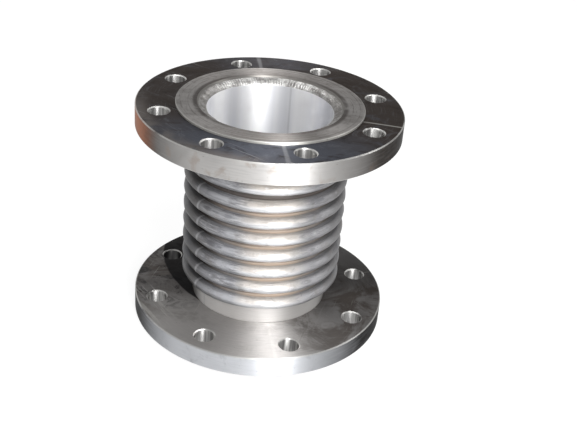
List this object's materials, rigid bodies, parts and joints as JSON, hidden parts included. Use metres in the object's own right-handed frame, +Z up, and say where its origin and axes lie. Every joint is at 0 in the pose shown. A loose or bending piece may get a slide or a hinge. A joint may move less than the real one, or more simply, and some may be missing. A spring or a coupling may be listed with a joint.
{
  "type": "flanged metal bellows expansion joint",
  "caption": "Round metal bellows with an inner flow liner, welded between two drilled plate flanges, that takes up axial movement in a pipe line.",
  "frame": {"origin": "centre of the lower flange's raised sealing face, which is the bottom of the part", "axes": "+Z up the flow axis from the lower to the upper flange; the bolt holes straddle X and Y"},
  "size_m": [0.25, 0.25, 0.2238],
  "materials": {
    "flange_steel": "turned, lightly stained",
    "bellows_sheet": "cold formed, scuffed",
    "pipe_steel": "plain mill finish",
    "liner_sheet": "bright rolled",
    "weld_metal": "rippled, brushed clean"
  },
  "bodies": {
    "lower_end": {"lower_flange": "flange_steel", "lower_pipe_end": "pipe_steel", "lower_face_weld": "weld_metal", "bellows": "bellows_sheet"},
    "upper_end": {"upper_flange": "flange_steel", "upper_pipe_end": "pipe_steel", "upper_face_weld": "weld_metal", "flow_liner": "liner_sheet"}
  },
  "joints": [
    {"name": "axial_travel", "type": "slide", "parent": "lower_end", "child": "upper_end", "axis": [0, 0, 1], "range_m": [-0.016, 0.008], "stiffness_N_per_m": 400000, "deforming": ["bellows"]}
  ]
}
